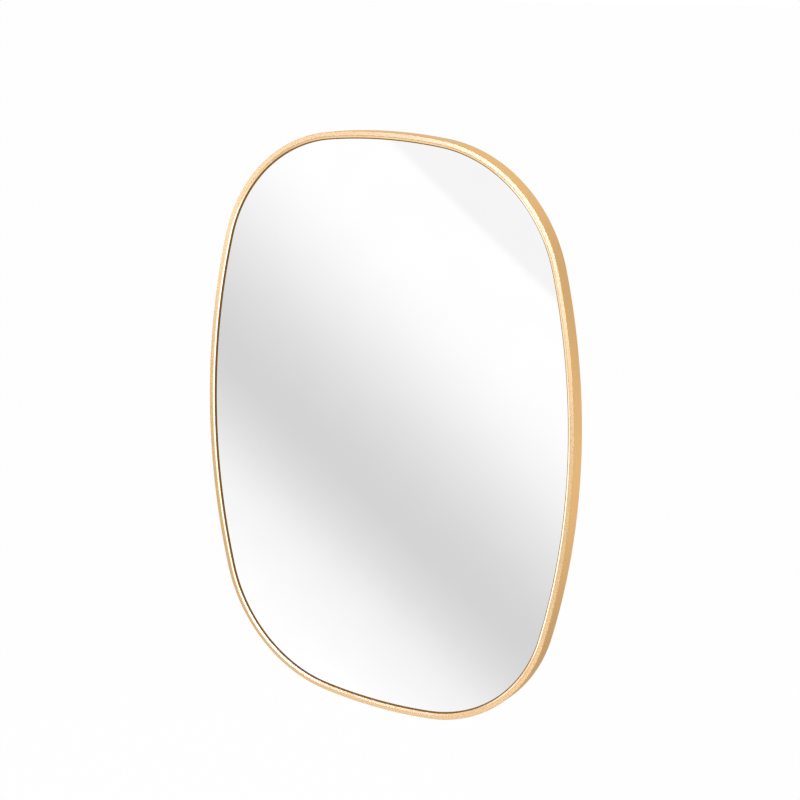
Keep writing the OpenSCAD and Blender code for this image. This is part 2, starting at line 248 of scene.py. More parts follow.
# %% A wrapper for the sockets of a finish
class Wire:
    """An output of a node. A sum on it adds a Math node and gives that node's output."""

    def __init__(self, graph, socket):
        self.graph, self.socket = graph, socket

    def maths(self, operation, *values):
        """The output of a new Math node."""
        return self.graph.add("Math", {"operation": operation}, *values)

    def __add__(self, other):
        return self.maths("ADD", self, other)

    def __radd__(self, other):
        return self.maths("ADD", other, self)

    def __sub__(self, other):
        return self.maths("SUBTRACT", self, other)

    def __rsub__(self, other):
        return self.maths("SUBTRACT", other, self)

    def __mul__(self, other):
        return self.maths("MULTIPLY", self, other)

    def __rmul__(self, other):
        return self.maths("MULTIPLY", other, self)

    def highest(self, other):
        """The greater of the two."""
        return self.maths("MAXIMUM", self, other)

    def ramp(self, low, high, to_low=0.0, to_high=1.0):
        """Runs smoothly from to_low to to_high while this runs from low to high."""
        ends = {"From Min": low, "From Max": high, "To Min": to_low, "To Max": to_high}
        return self.graph.add("MapRange", {"interpolation_type": "SMOOTHSTEP"}, Value=self, **ends)


print("what a wire can do:", [name for name, thing in vars(Wire).items() if callable(thing)])

# %% [markdown]
# The nodes themselves come from one method. It takes the kind of node, its settings and what goes
# into its sockets. Each kind could have a function of its own, but a node's sockets have names
# already, and these read well enough.

# %% Add nodes
class Graph:
    """The nodes of one material or world."""

    def __init__(self, tree):
        self.tree = tree
        tree.nodes.clear()

    def add(self, kind, settings=None, *places, **named):
        """Adds a node of this kind, with its settings first and then its inputs, by place or by
        name, each a number, a colour or a wire. Gives its first output that is switched on, if it
        has outputs."""
        node = self.tree.nodes.new("ShaderNode" + kind)
        for setting, value in (settings or {}).items():
            setattr(node, setting, value)
        inputs = [(node.inputs[i], value) for i, value in enumerate(places)]
        inputs += [(next(s for s in node.inputs if s.name == name and s.enabled), value)
                   for name, value in named.items()]
        for socket, value in inputs:
            if isinstance(value, Wire):
                self.tree.links.new(value.socket, socket)
            else:
                socket.default_value = value
        if node.outputs:
            return Wire(self, next(s for s in node.outputs if s.enabled))

    def pick(self, wire, name):
        """Another output of the same node."""
        return Wire(self, wire.socket.node.outputs[name])

    def mix(self, share, first, second):
        """A colour between two."""
        return self.add("Mix", {"data_type": "RGBA"}, Factor=share, A=first, B=second)


print("what a graph can do:", [name for name, thing in vars(Graph).items() if callable(thing)])

# %% [markdown]
# A colour is easiest to name as a screen shows it, in three numbers up to 255, but a shader counts
# light. A finish is then one Principled shader. What is the same all over the piece is set on the
# shader itself, and what varies comes from the network.

# %% Name a colour, build a finish
def colour(red, green, blue):
    """A colour as it looks on a screen, 0 to 255, turned into light: the sRGB curve undone."""
    c = np.array([red, green, blue]) / 255
    light = np.where(c <= 0.04045, c / 12.92, ((c + 0.055) / 1.055) ** 2.4)
    return (*light.tolist(), 1.0)


def finish(name, build, **fixed):
    """A material whose surface is one Principled shader. Fixed numbers are set on its sockets, and
    build gives what varies over the surface."""
    material = bpy.data.materials.new(name)
    material.use_nodes = True
    graph = Graph(material.node_tree)
    varied = build(graph)
    values = {socket.replace("_", " "): value for socket, value in {**fixed, **varied}.items()}
    shader = graph.add("BsdfPrincipled", None, **values)
    graph.add("OutputMaterial", None, Surface=shader)
    return material


print("a middle grey sends back", round(colour(128, 128, 128)[0], 3), "of the light")

# %% [markdown]
# ## The frame
#
# Both halves of the frame are one extruded section: an outer wall, a face with a rounded outer
# edge and a shallow bevel, an inner edge that slopes down to the glass, a web that the spring
# clips push against, and a groove with a slot at the back. A die leaves no edge quite sharp, and
# neither does the brushing. The section is therefore a polygon whose corners are rounded by small
# arcs. A bevel modifier could round them too, but it would do so at the ends of the bars as well.

# %% Round the corners of a section
ROUNDING = 4


def rounded(corners, radii, steps=ROUNDING):
    """The points and outward normals of a polygon with rounded corners, its inside on the left.
    The arc at a corner starts the radius times the tangent of half the turn before it."""
    corners = np.array(corners, float)
    before = corners - np.roll(corners, 1, 0)
    before /= np.linalg.norm(before, axis=1, keepdims=True)
    after = np.roll(before, -1, 0)
    turn = np.arctan2(before[:, 0] * after[:, 1] - before[:, 1] * after[:, 0],
                      (before * after).sum(1))
    radii = np.array(radii, float)
    tangent = radii * np.tan(abs(turn) / 2)
    left = np.stack([-before[:, 1], before[:, 0]], 1)
    bend = np.sign(turn)[:, None]
    centre = corners - before * tangent[:, None] + left * bend * radii[:, None]
    share = np.linspace(0, 1, steps + 1)
    heading = np.arctan2(before[:, 1], before[:, 0])[:, None] + turn[:, None] * share
    normal = np.stack([np.sin(heading), -np.cos(heading)], -1)
    points = centre[:, None] + normal * (bend * radii[:, None])[:, None]
    return points.reshape(-1, 2), normal.reshape(-1, 2)


square, _ = rounded([(0, 0), (10, 0), (10, 10), (0, 10)], [1, 1, 1, 1])
print("a rounded square has", len(square), "points, from", square.min(0), "to", square.max(0))

# %% [markdown]
# The section is drawn with the wall's outer side at 0 and the inside of the mirror at negative
# numbers. The second number of a point is its height above the wall the mirror hangs on. The
# thicknesses follow from each other from the back to the front: bumper, lip, key, web, face.

# %% Draw the section of the frame
FACE_W, DEPTH, WALL, FACE_T = 9.5, 24, 1.6, 3
BEVEL_W, BEVEL_D, EDGE_R = 3.5, 1, 0.8
SLOPE_W, LAND = 1.8, 0.4
GROOVE_W, LIP, SLOT_W = 7.8, 1.2, 4.4
PAD_T = 1.5
KEY_T, KEY_LIFT = 2.4, 0.3

back = PAD_T
key_z = back + LIP
web_z = key_z + KEY_T + KEY_LIFT
clip_z = web_z + LIP
face_z = back + DEPTH
lip_z = face_z - FACE_T
rim_w = WALL + GROOVE_W + LIP
groove_end = WALL + GROOVE_W
slot_out = WALL + (GROOVE_W - SLOT_W) / 2
slot_in = slot_out + SLOT_W

# Each corner of the section, and the radius that rounds it.
SECTION = [
    ((0, back), 0.3), ((0, face_z), EDGE_R), ((BEVEL_W - FACE_W, face_z), 0.6),
    ((-FACE_W, face_z - BEVEL_D), 0.25), ((-FACE_W - SLOPE_W, lip_z + LAND), 0.15),
    ((-FACE_W - SLOPE_W, lip_z), 0.12), ((-WALL, lip_z), 0.3),
    ((-WALL, clip_z), 0.3), ((-rim_w, clip_z), 0.2), ((-rim_w, back), 0.3),
    ((-slot_in, back), 0.15), ((-slot_in, key_z), 0.15), ((-groove_end, key_z), 0.2),
    ((-groove_end, web_z), 0.2), ((-WALL, web_z), 0.2), ((-WALL, key_z), 0.2),
    ((-slot_out, key_z), 0.15), ((-slot_out, back), 0.15),
]
section, section_normal = rounded([c for c, _ in SECTION], [r for _, r in SECTION])
print("points of the section:", len(section))

# %% [markdown]
# ## Brushed gold
#
# The frame is aluminium, drawn along its length over a fine abrasive, then anodised a light gold.
# Brushing leaves scratches that run with the bar: centimetres long and a tenth of a millimetre
# wide. They are noise that is stretched along the piece's own length, laid over a cloudier noise,
# because an anodised tone is never quite even.
#
# The section's own length tells where on the bar a point is. The face is brushed finest. The inner
# part of its bevel is cut again by a polished tool, which leaves it half as rough, and it is
# painted
# lighter: a painted highlight. The outer wall is brushed more coarsely, and it and the rest of the
# bar get a lighter gold than the face: painted light. The narrow slope that runs from the face down
# to the glass is painted a dark bronze: painted shade.
#
# An image of scratches would need fitting round the corners. The texture map follows the bar, so
# noise on it turns every corner by itself.

# %% Measure around the section
# The polished cut is less rough, and its lighter gold is a painted highlight.
CUT_W = 2.4
loop = np.concatenate([section, section[:1]])
girths = np.concatenate([[0], np.cumsum(np.hypot(*np.diff(loop, axis=0).T))]) * MM
corner_girths = girths[ROUNDING // 2::ROUNDING + 1]
FACE_FROM, FACE_TO, GLASS_AT = corner_girths[[1, 3, 5]]
CUT_FROM = FACE_TO - CUT_W * MM
print("face from", round(FACE_FROM, 5), "to", round(FACE_TO, 5), "glass at", round(GLASS_AT, 5))

# %% [markdown]
# Each of the four tones has a worn and a fresh colour, and the scratches choose between them. The
# scratches are in the relief too, but only faintly: on so fine a grain it is the roughness that
# spreads a highlight, not the single grooves.

# %% Mix the gold
GOLD, GOLD_WORN = colour(212, 172, 113), colour(204, 163, 103)
# The cut's lighter gold is a painted highlight.
CUT_HIGHLIGHT_GOLD, CUT_HIGHLIGHT_WORN = colour(248, 212, 163), colour(240, 204, 152)
# The wall's gold is lighter than the face's: painted light.
WALL_LIGHTENED_GOLD, WALL_LIGHTENED_WORN = colour(240, 196, 136), colour(224, 179, 118)
# The slope's dark bronze is painted shade.
SHADE_BRONZE, SHADE_BRONZE_WORN = colour(142, 102, 41), colour(130, 91, 34)
GOLD_EDGE = colour(252, 240, 220)
SCRATCHES, CLOUDS = (33, 6500), (160, 700)
SOFT = 0.0002


def brushed(graph):
    """Scratches from noise on (along / 30 mm, around / 0.15 mm), clouds from noise on (along /
    6 mm, around / 1.4 mm), and four tones by the place around the section, three of them painted
    light and shade: a lighter gold on the wall, a painted highlight on the cut and painted shade on
    the slope."""
    unrolled = graph.add("SeparateXYZ", None, graph.add("UVMap"))
    along, around = graph.pick(unrolled, "X"), graph.pick(unrolled, "Y")
    fine, broad = (graph.add("TexNoise", {"noise_dimensions": "2D"}, Detail=detail, Scale=1.0,
                             Vector=graph.add("CombineXYZ", None, along * u, around * v, 0.0))
                   for detail, (u, v) in ((3.0, SCRATCHES), (4.0, CLOUDS)))
    scratch = fine.ramp(0.3, 0.7)
    cloud = broad.ramp(0.35, 0.65)
    tone = scratch * 0.7 + cloud * 0.3
    past_face = around.ramp(FACE_TO - SOFT, FACE_TO)
    face = around.ramp(FACE_FROM - SOFT, FACE_FROM + SOFT) - past_face
    # The cut's mask makes it less rough and lays a painted highlight on it.
    cut = around.ramp(CUT_FROM, CUT_FROM + SOFT) - past_face
    # The slope's mask lays painted shade on the slope by the glass.
    slope = past_face - around.ramp(GLASS_AT, GLASS_AT + SOFT)
    # Outside the face, cut and slope the bar takes the wall's lighter gold: painted light.
    metal = graph.mix(tone, WALL_LIGHTENED_WORN, WALL_LIGHTENED_GOLD)
    for place, worn, new in ((face, GOLD_WORN, GOLD), (cut, CUT_HIGHLIGHT_WORN, CUT_HIGHLIGHT_GOLD),
                             (slope, SHADE_BRONZE_WORN, SHADE_BRONZE)):
        metal = graph.mix(place, metal, graph.mix(tone, worn, new))
    relief = graph.add("Bump", None, Strength=0.05, Distance=0.00004, Height=fine + broad * 0.1)
    rough = 0.30 - face * 0.04 - cut * 0.14 + scratch * 0.08
    return {"Base Color": metal, "Roughness": rough, "Normal": relief}


gold = finish("brushed_gold", brushed, Metallic=1.0, Specular_Tint=GOLD_EDGE)
print("nodes of the gold:", len(gold.node_tree.nodes))

# %% [markdown]
# ## Bending the bar
#
# A point of the bar is found from two numbers. The angle of the outline's normal picks the place
# along it, and the point of the section says how far inside and how high. A curve object could
# carry the section too, but it spaces its points by itself and would miss the joins of the arcs.

# %% Carry the section along half the outline
def bar(name, node, start, end):
    """A point of the bar is the outline's point, moved along its normal by the section's first
    number, at the height of the second. Its own normal is turned the same way."""
    angle = fine_angles(start, end)
    point, out = outline(angle)
    place = point[:, None] + section[None, :, :1] * out[:, None]
    height = np.broadcast_to(section[None, :, 1:], place.shape[:2] + (1,))
    level_part = section_normal[None, :, :1] * out[:, None]
    rise = np.broadcast_to(section_normal[None, :, 1:], place.shape[:2] + (1,))
    normal = np.concatenate([level_part, rise], -1)
    normal = np.stack([normal[..., 0], -normal[..., 2], normal[..., 1]], -1)
    lengths = np.concatenate([[0], np.cumsum(np.hypot(*np.diff(point, axis=0).T))]) * MM
    rows, columns = place.shape[:2]
    caps = [np.arange(columns)[::-1], (rows - 1) * columns + np.arange(columns)]
    make_piece(name, hang(np.concatenate([place, height], -1)), grid_faces(rows, columns),
               grid_map(lengths, girths), node, gold, caps, normal)


bar("frame_half_right", "frame_right", -np.pi / 2, np.pi / 2)
bar("frame_half_left", "frame_left", np.pi / 2, 3 * np.pi / 2)

# %% [markdown]
# ## The mirror
#
# A wall mirror is float glass with a layer of silver on its back. What one sees is the silver,
# through clear glass with a breath of green in it. It could be made as real glass over metal, but
# the face of the frame covers its edges, so the front of the glass can carry the silver itself:
# a bare metal surface, nearly white, nearly without roughness.
#
# No mirror is perfect. Float glass has ripples a few centimetres long and too low to feel, and a
# wiped mirror keeps a faint haze, so both the relief and the roughness come from wide, weak noise.

# %% Silver the glass
def silvered(graph):
    """Haze and ripples from noise on the place, 6 cm and 20 cm long."""
    place = graph.pick(graph.add("TexCoord"), "Object")
    haze = graph.add("TexNoise", None, Vector=place, Scale=16.0, Detail=3.0)
    ripple = graph.add("TexNoise", None, Vector=place, Scale=5.0, Detail=0.0)
    tint = graph.mix(haze.ramp(0.3, 0.7), colour(254, 254, 254), colour(255, 255, 255))
    relief = graph.add("Bump", None, Strength=0.1, Distance=0.00002, Height=ripple)
    return {"Base Color": tint, "Roughness": 0.004 + haze * 0.008, "Normal": relief}


silver = finish("silvered_glass", silvered, Metallic=1.0)
print("nodes of the silver:", len(silver.node_tree.nodes))

# %% [markdown]
# ## The hidden layers
#
# Behind the glass lie a grey safety film and a raw fibreboard, and a white foam tape cushions the
# glass under the face. Fibreboard is pressed from short fibres: seen close it is a felt of pale
# and dark dashes, and from a step away an even brown with soft clouds. Three sizes of noise give
# the clouds, the felt and the single dark fibres.

# %% Finishes for board, film, foam and rubber
def fibreboard(graph):
    """Clouds 8 cm wide, a felt of 2 mm dashes and sparse dark fibres."""
    place = graph.pick(graph.add("TexCoord"), "Object")
    clouds = graph.add("TexNoise", None, Vector=place, Scale=12.0, Detail=4.0)
    felt = graph.add("TexNoise", None, Vector=place, Scale=520.0, Detail=5.0, Roughness=0.65)
    dashes = graph.add("VectorMath", {"operation": "MULTIPLY"}, place, (260.0, 1.0, 900.0))
    fibres = graph.add("TexNoise", None, Vector=dashes, Scale=1.0, Detail=2.0)
    base = graph.mix(clouds.ramp(0.3, 0.7), colour(162, 129, 92), colour(173, 140, 100))
    base = graph.mix(felt.ramp(0.35, 0.7) * 0.5, base, colour(200, 171, 131))
    base = graph.mix(fibres.ramp(0.62, 0.75) * 0.45, base, colour(108, 80, 52))
    relief = graph.add("Bump", None, Strength=0.5, Distance=0.00015, Height=felt + fibres * 0.5)
    return {"Base Color": base, "Roughness": 0.78 + felt * 0.15, "Normal": relief}


def even_skin(first, second, scale, rough, depth):
    """A build for a plain skin of two tones. One noise of this scale drives the tone, the
    roughness and a relief of this depth together."""
    def build(graph):
        place = graph.pick(graph.add("TexCoord"), "Object")
        grain = graph.add("TexNoise", None, Vector=place, Scale=scale, Detail=4.0)
        relief = graph.add("Bump", None, Strength=0.4, Distance=depth, Height=grain)
        return {"Base Color": graph.mix(grain.ramp(0.3, 0.7), first, second),
                "Roughness": rough + grain * 0.15, "Normal": relief}
    return build


board = finish("fibreboard", fibreboard)
SKINS = {
    "safety_film": (colour(138, 144, 150), colour(152, 158, 163), 90, 0.3, 5e-5),
    "white_foam": (colour(214, 214, 208), colour(236, 236, 232), 2400, 0.8, 2e-4),
    "black_rubber": (colour(34, 34, 35), colour(48, 48, 49), 1500, 0.55, 3e-5),
}
film, foam, rubber = (finish(name, even_skin(*skin)) for name, skin in SKINS.items())
print("nodes of the board:", len(board.node_tree.nodes))

# %% [markdown]
# ## Steel
#
# The hangers and keys are stamped steel with a bright zinc plate, which dries in faint clouds and
# keeps the fine lines of the rolled strip. The clips are blued spring steel and the grub screws
# are blackened. All three are one build with other tones and another roughness.

# %% Finishes for the steel pieces
def plated(first, second, rough):
    """A build for plated or blued steel: clouds 7 mm wide in the tone, lines of the strip in the
    relief."""
    def build(graph):
        place = graph.pick(graph.add("TexCoord"), "Object")
        clouds = graph.add("TexNoise", None, Vector=place, Scale=140.0, Detail=5.0)
        strip = graph.add("VectorMath", {"operation": "MULTIPLY"}, place, (5200.0, 900.0, 700.0))
        lines = graph.add("TexNoise", None, Vector=strip, Scale=1.0, Detail=2.0)
        relief = graph.add("Bump", None, Strength=0.25, Distance=2e-5, Height=lines)
        return {"Base Color": graph.mix(clouds.ramp(0.25, 0.75), first, second),
                "Roughness": rough + clouds * 0.16, "Normal": relief}
    return build


STEELS = {
    "bright_zinc": (colour(176, 180, 186), colour(214, 216, 217), 0.2),
    "black_oxide": (colour(52, 52, 55), colour(74, 74, 77), 0.3),
    "spring_steel": (colour(104, 112, 124), colour(140, 146, 154), 0.25),
}
zinc, black, blued = (finish(name, plated(*steel), Metallic=1.0) for name, steel in STEELS.items())
print("nodes of a steel:", len(zinc.node_tree.nodes))

# %% [markdown]
# The record gives each node a named slot for its finish. Every solid that came in is dressed by
# that name, the hidden ones too, so that nothing is left bare when a piece is looked at alone.

# %% Dress the solids
FINISHES = {"gold_frame": gold, "mirror": silver, "film": film, "board": board, "foam": foam,
            "zinc_steel": zinc, "black_steel": black, "spring_steel": blued, "rubber": rubber}
for row in frame["record"]["subparts"]:
    solid = frame["nodes"][row["node"]]
    solid.data.materials.clear()
    solid.data.materials.append(FINISHES[row["material_slot"]])

# %% [markdown]
# ## The hangers
#
# Two hangers carry the mirror upright and two carry it sideways. What has to be right is the height
# at which a hook bears in the ring, so each pivot is worked out back from there: the ring leans a
# little from its pivot until its end rests on the board, and the hook bears inside that end. The
# pivots could be read off the solids instead, but then the drawing would not explain itself.

# %% Find the pivots of the hangers
WIRE_D, BEND_R, LEG_L = 2.5, 2.5, 3
PLATE_W, PLATE_T = 13, 1.2
RING_GAP, SIDE_GAP, REST_GAP = 0.08, 0.5, 0.15
leg_x = PLATE_W / 2 + SIDE_GAP + BEND_R
reach = BEND_R + LEG_L + leg_x
drop = PLATE_T + WIRE_D / 2 + RING_GAP
lean = np.arcsin((drop - WIRE_D / 2 - REST_GAP) / reach)
bearing = (reach - WIRE_D / 2) * np.cos(lean)

GLASS_T, FILM_T, BOARD_T, TAPE_T = 4, 0.3, 9, 0.5
BOARD_Z = lip_z - TAPE_T - GLASS_T - FILM_T - BOARD_T
HOOK_IN, SIDE_HOOK_DROP, SIDE_HOOK_IN = 130, 80, 320
upright_y = HOOK_H - bearing
sideways_x = WIDTH / 2 - SIDE_HOOK_DROP - bearing
sideways_y = HEIGHT / 2 - SIDE_HOOK_IN
# Each hanger's pivot, and by how much it is turned.
HANGERS = {
    "upright_left": (HOOK_IN - WIDTH / 2, upright_y, 0),
    "upright_right": (WIDTH / 2 - HOOK_IN, upright_y, 0),
    "sideways_upper": (sideways_x, sideways_y, -np.pi / 2),
    "sideways_lower": (sideways_x, -sideways_y, -np.pi / 2),
}


def placed(points, x, y, turn):
    """Moves a hanger's drawing to its pivot, turned by a quarter for the sideways ones."""
    c, s = np.cos(turn), np.sin(turn)
    px, py, pz = np.moveaxis(points, -1, 0)
    return np.stack([x + c * px - s * py, y + s * px + c * py, pz + BOARD_Z], -1)


print("a ring leans", round(np.degrees(lean), 2), "degrees and bears", round(bearing, 2), "mm up")

# %% [markdown]
# A hanger ring is a length of wire bent to a D: a straight side that turns in the curl of its
# plate, two tight bends, two short legs and a half circle. A tube along such a path could be a
# curve object with a bevel, but its cross-section then twists where it likes. The path lies in one
# plane, so the tube's two directions are known everywhere: the path's own sideways direction, and
# the plane's normal.

# %% Bend the wire
BAR_STEPS, BEND_STEPS, BOW_STEPS = 9, 13, 49


def arc_of(centre, radius, start, end, steps):
    """Points on a circle from one angle to another, and the outward directions there."""
    angle = np.linspace(start, end, steps)
    out = np.stack([np.cos(angle), np.sin(angle)], -1)
    return np.array(centre) + radius * out, out


def ring_path():
    """The wire's middle line and its outward directions, once round from the straight side."""
    quarter, half = np.pi / 2, np.pi
    bar_x = leg_x - BEND_R
    straight = np.linspace([-bar_x, 0], [bar_x, 0], BAR_STEPS)[1:-1]
    parts = [
        (straight, np.tile([0.0, -1.0], (len(straight), 1))),
        arc_of((bar_x, BEND_R), BEND_R, -quarter, 0, BEND_STEPS),
        arc_of((0, BEND_R + LEG_L), leg_x, 0, half, BOW_STEPS),
        arc_of((-bar_x, BEND_R), BEND_R, half, half + quarter, BEND_STEPS),
    ]
    return np.concatenate([p for p, _ in parts]), np.concatenate([n for _, n in parts])


path, outward = ring_path()
closed = np.concatenate([path, path[:1]])
ring_lengths = np.concatenate([[0], np.cumsum(np.hypot(*np.diff(closed, axis=0).T))]) * MM
print("wire in a ring:", round(ring_lengths[-1] / MM, 1), "mm")

# %% [markdown]
# A tube is a small circle at every point of the path. Its points go outward by the cosine and out
# of the plane by the sine, and then the whole ring leans back about its pivot.

# %% Draw the rings
WIRE_SIDES = 32
around = np.linspace(0, 2 * np.pi, WIRE_SIDES + 1)
beside, over = np.cos(around[:-1]), np.sin(around[:-1])
ring = np.concatenate([
    path[:, None] + WIRE_D / 2 * beside[None, :, None] * outward[:, None],
    np.broadcast_to(WIRE_D / 2 * over[None, :, None], (len(path), WIRE_SIDES, 1)),
], -1)
leaning = np.stack([ring[..., 0],
                    ring[..., 1] * np.cos(lean) - ring[..., 2] * np.sin(lean),
                    ring[..., 1] * np.sin(lean) + ring[..., 2] * np.cos(lean) - drop], -1)
for name, (x, y, turn) in HANGERS.items():
    make_piece("ring_" + name, hang(placed(leaning, x, y, turn)),
               grid_faces(len(path), WIRE_SIDES, wrap_rows=True),
               grid_map(ring_lengths, around * WIRE_D / 2 * MM), "hanger_ring_" + name, zinc)

# %% [markdown]
# ## The screws
#
# Each hanger is held by two short wood screws with round heads and crossed recesses. A head is a
# height over a disc: a shallow dome less a cross with sloping walls. The shank is a radius over a
# height: a core, plus a ridge that climbs by one pitch a turn. Both are one grid, rings from the
# middle of the head out over its edge and down to the tip, so head, neck and thread are one skin.

# %% Draw the head and the shank of a screw
SCREW_D, SCREW_L, HEAD_D, HEAD_H = 3, 6, 6.4, 1.9
PITCH, THREAD = 1.3, 0.42
POINT_L, TIP_L = SCREW_D * 0.7, 0.05
RIM_R, DOME_FALL = 0.45, 0.35
CROSS_L, CROSS_W, CROSS_D = HEAD_D * 0.6, 0.9, HEAD_H * 0.55
DETAIL_R = HEAD_D * 0.36
SPOKES, CROSS_RINGS, DOME_RINGS, RIM_RINGS, SHANK_RINGS = 72, 30, 8, 7, 76


def slot_depth(x, y, length, width, slope=0.25):
    """One arm of the cross: 1 inside the slot, 0 outside, and a slope between them."""
    def wall(value, half):
        return np.clip((half + slope / 2 - abs(value)) / slope, 0, 1)
    return wall(x, length / 2) * wall(y, width / 2)


def head(angle):
    """Rings of points from the middle of the head outwards, finer where the cross is: the dome
    falls with the square of the radius, and the cross is cut out. Then the radii and heights of
    the rim, a quarter circle."""
    radius = np.concatenate([np.linspace(0, DETAIL_R, CROSS_RINGS),
                             np.linspace(DETAIL_R, HEAD_D / 2 - RIM_R, DOME_RINGS)[1:]])
    x, y = radius[:, None] * np.cos(angle), radius[:, None] * np.sin(angle)
    cross = np.maximum(slot_depth(x, y, CROSS_L, CROSS_W), slot_depth(y, x, CROSS_L, CROSS_W))
    dome = DOME_FALL * (radius[:, None] / (HEAD_D / 2)) ** 2
    top = np.stack([x, y, -PLATE_T - HEAD_H + dome + cross * CROSS_D], -1)
    bend = np.linspace(0, np.pi / 2, RIM_RINGS)[1:]
    edge_z = -PLATE_T - HEAD_H + dome[-1, 0] + RIM_R * (1 - np.cos(bend))
    edge_r = HEAD_D / 2 - RIM_R + RIM_R * np.sin(bend)
    return top, np.append(edge_r, HEAD_D / 2), np.append(edge_z, -PLATE_T)


def shank(angle, height):
    """Radii over height and angle: the core, plus a ridge that is a raised cosine of height /
    pitch - angle / turn. It tapers to the tip and fades out under the head."""
    ridge = (0.5 + 0.5 * np.cos(2 * np.pi * (height[:, None] / PITCH) - angle)) ** 3
    taper = np.clip((SCREW_L - height) / POINT_L, 0, 1)[:, None]
    fade = np.clip(height / PITCH, 0, 1)[:, None]
    return (SCREW_D / 2 - THREAD + THREAD * ridge * fade + THREAD * 0.5 * (1 - fade)) * taper


def screw():
    """The rings of the head, its edge, the shank and the tip, one after the other."""
    angle = np.linspace(0, 2 * np.pi, SPOKES + 1)[:-1]
    top, edge_r, edge_z = head(angle)
    height = np.linspace(-PLATE_T, SCREW_L - TIP_L, SHANK_RINGS)
    whole = np.ones(SPOKES)
    r = np.concatenate([edge_r[:, None] * whole, shank(angle, height), [0 * whole]])
    z = np.concatenate([edge_z, height, [SCREW_L]])[:, None] * whole
    return np.concatenate([top, np.stack([r * np.cos(angle), r * np.sin(angle), z], -1)])


one = screw()
print("a screw has", len(one), "rings of", SPOKES, "points")

# %% [markdown]
# Each hanger takes a pair of screws, and a pair is one piece, as in the solids.

# %% Drive the screws
SCREW_NEAR, SCREW_FAR = 9, 24
GRAIN_STEP = 2e-4
rows = len(one)
faces = grid_faces(rows, SPOKES)
both = np.concatenate([faces, faces + rows * SPOKES])
texture = grid_map(np.arange(rows) * GRAIN_STEP, np.arange(SPOKES + 1) * GRAIN_STEP)
for name, (x, y, turn) in HANGERS.items():
    pair = [placed(one - [0, step, 0], x, y, turn) for step in (SCREW_NEAR, SCREW_FAR)]
    make_piece("screws_" + name, hang(np.concatenate(pair)), both, np.tile(texture, (2, 1)),
               "hanger_screws_" + name, zinc)

# %% [markdown]
# ## The bumpers
#
# Four rubber bumpers keep the metal off the wall. Each is a low moulded disc with a rounded edge
# and a shallow dish in the middle of its face, so it is a profile turned about its own axis.

# %% Mould the bumpers
PAD_D, PAD_EDGE_R = 9, 0.55
DISH_D, DISH_R, DISH_RIM_R = 0.12, 1.5, 2.4
PAD_SPOKES, PAD_STEP = 64, 5e-4
flat_r = PAD_D / 2 - PAD_EDGE_R
edge = np.linspace(0, np.pi / 2, 8)[1:]
pad_r = [0, DISH_R, DISH_RIM_R, flat_r, *(flat_r + PAD_EDGE_R * np.sin(edge)), PAD_D / 2, 0]
pad_z = [DISH_D, DISH_D, 0, 0, *(PAD_EDGE_R * (1 - np.cos(edge))), PAD_T, PAD_T]
spin = np.linspace(0, 2 * np.pi, PAD_SPOKES + 1)
disc = np.stack([np.outer(pad_r, np.cos(spin[:-1])), np.outer(pad_r, np.sin(spin[:-1])),
                 np.outer(pad_z, np.ones(PAD_SPOKES))], -1)
point, out = outline(np.array((SIDE_A + END_A) / 2))
for name, sides in {"upper_left": (-1, 1), "upper_right": (1, 1),
                    "lower_left": (-1, -1), "lower_right": (1, -1)}.items():
    middle = (point - rim_w / 2 * out) * sides
    make_piece("bumper_pad_" + name, hang(disc + [*middle, 0]), grid_faces(len(disc), PAD_SPOKES),
               grid_map(np.arange(len(disc)) * PAD_STEP, spin * PAD_D / 2 * MM),
               "bumper_" + name, rubber)

# %% [markdown]
# ## The studio
#
# The photograph has a white ground and no shadow. A mirror shows whatever stands in front of it,
# and a metal frame does too, so such a picture is made by what surrounds the camera. The air is
# white to the camera and to reflections, and a plain soft light to everything else. One white
# strength for all rays would be simpler, but it would wash out the wood and the steel behind.

# %% Light the air
PAPER_WHITE = (1, 1, 1, 1)
AIR_LIGHT = 0.75


def seen_directly(graph):
    """1 for rays from the camera and for those that a glossy or clear surface sends on."""
    rays = graph.add("LightPath")
    camera_ray, glossy, clear = (graph.pick(rays, f"Is {kind} Ray")
                                 for kind in ("Camera", "Glossy", "Transmission"))
    return camera_ray.highest(glossy.highest(clear))


world = bpy.data.worlds.new("studio")
scene.world = world
world.use_nodes = True
graph = Graph(world.node_tree)
dim_air = graph.add("Background", None, Color=PAPER_WHITE, Strength=AIR_LIGHT)
white_air = graph.add("Background", None, Color=PAPER_WHITE, Strength=1.0)
graph.add("OutputWorld", None, Surface=graph.add("MixShader", None, seen_directly(graph),
                                                 dim_air, white_air))
print("nodes of the air:", len(world.node_tree.nodes))

# %% [markdown]
# The floor lies well below the mirror, which hangs on a wall, and reaches so far that its edge is
# out of sight. It glows nearly white to the camera and is a matt pale grey to all other light. The
# glass doesn't show it, because the photographed one shows no horizon.

# %% Lay the floor
FLOOR_Z, FLOOR_D, FLOOR_GLOW = -1.95, 600, 0.97
FLOOR_GREY = (0.8, 0.8, 0.8, 1)
SQUARE = ((-1, -1), (1, -1), (1, 1), (-1, 1))


def stage_piece(name, middle, x, y, size, material):
    """A flat square of the studio, which isn't part of the mirror: its corners lie half the size
    from the middle, along x and along y."""
    corners = [middle + size / 2 * (a * x + b * y) for a, b in SQUARE]
    mesh = bpy.data.meshes.new(name)
    mesh.from_pydata([corner.tolist() for corner in corners], [], [(0, 1, 2, 3)])
    thing = bpy.data.objects.new(name, mesh)
    scene.collection.objects.link(thing)
    mesh.materials.append(material)
    return thing


